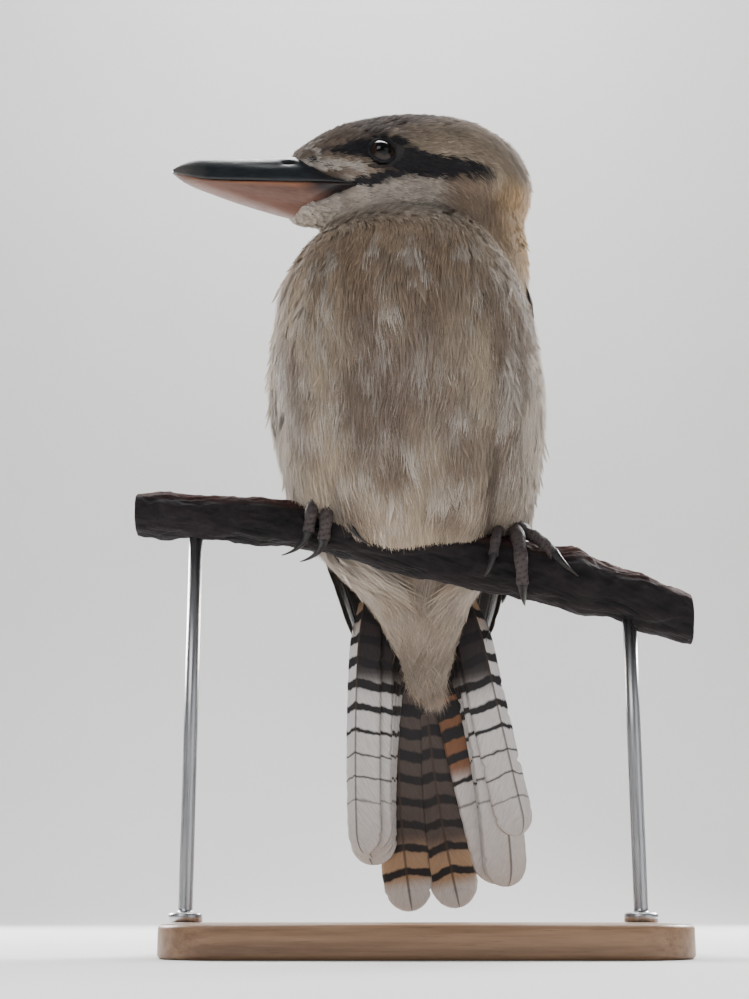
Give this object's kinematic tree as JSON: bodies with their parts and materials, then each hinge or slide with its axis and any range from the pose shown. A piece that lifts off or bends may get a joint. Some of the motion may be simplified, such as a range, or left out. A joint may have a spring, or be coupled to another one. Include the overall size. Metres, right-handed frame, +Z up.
{
  "type": "perched kingfisher display model",
  "caption": "Life-size laughing kookaburra perched on a short cut branch with its head turned to its right, held over a flat base by rods.",
  "frame": {"origin": "centre of the underside of the stand's base", "axes": "+Z up, the bird faces -Y and its left side is +X; its bill points towards -X"},
  "size_m": [0.24, 0.131, 0.3767],
  "materials": {
    "plumage_pale": "soft loose feathers",
    "plumage_dark": "firm overlapping feathers",
    "plumage_barred": "firm barred feathers",
    "bill_dark": "satin horn",
    "bill_horn": "satin horn",
    "eye": "wet gloss",
    "foot_skin": "scaly skin",
    "claw": "satin horn",
    "bark": "rough bark",
    "base_wood": "satin",
    "rod_steel": "brushed"
  },
  "bodies": {
    "root": {"head": "plumage_pale", "neck": "plumage_pale", "torso": "plumage_pale", "wing_left": "plumage_dark", "wing_right": "plumage_dark", "tail": "plumage_barred", "bill_upper": "bill_dark", "bill_lower": "bill_horn", "eye_left": "eye", "eye_right": "eye", "foot_left": "foot_skin", "foot_right": "foot_skin", "claw_right_outer": "claw", "claw_right_middle": "claw", "claw_right_inner": "claw", "claw_right_hind": "claw", "claw_left_outer": "claw", "claw_left_middle": "claw", "claw_left_inner": "claw", "claw_left_hind": "claw", "perch": "bark", "stand_base": "base_wood", "stand_rod_left": "rod_steel", "stand_rod_right": "rod_steel"}
  },
  "joints": []
}
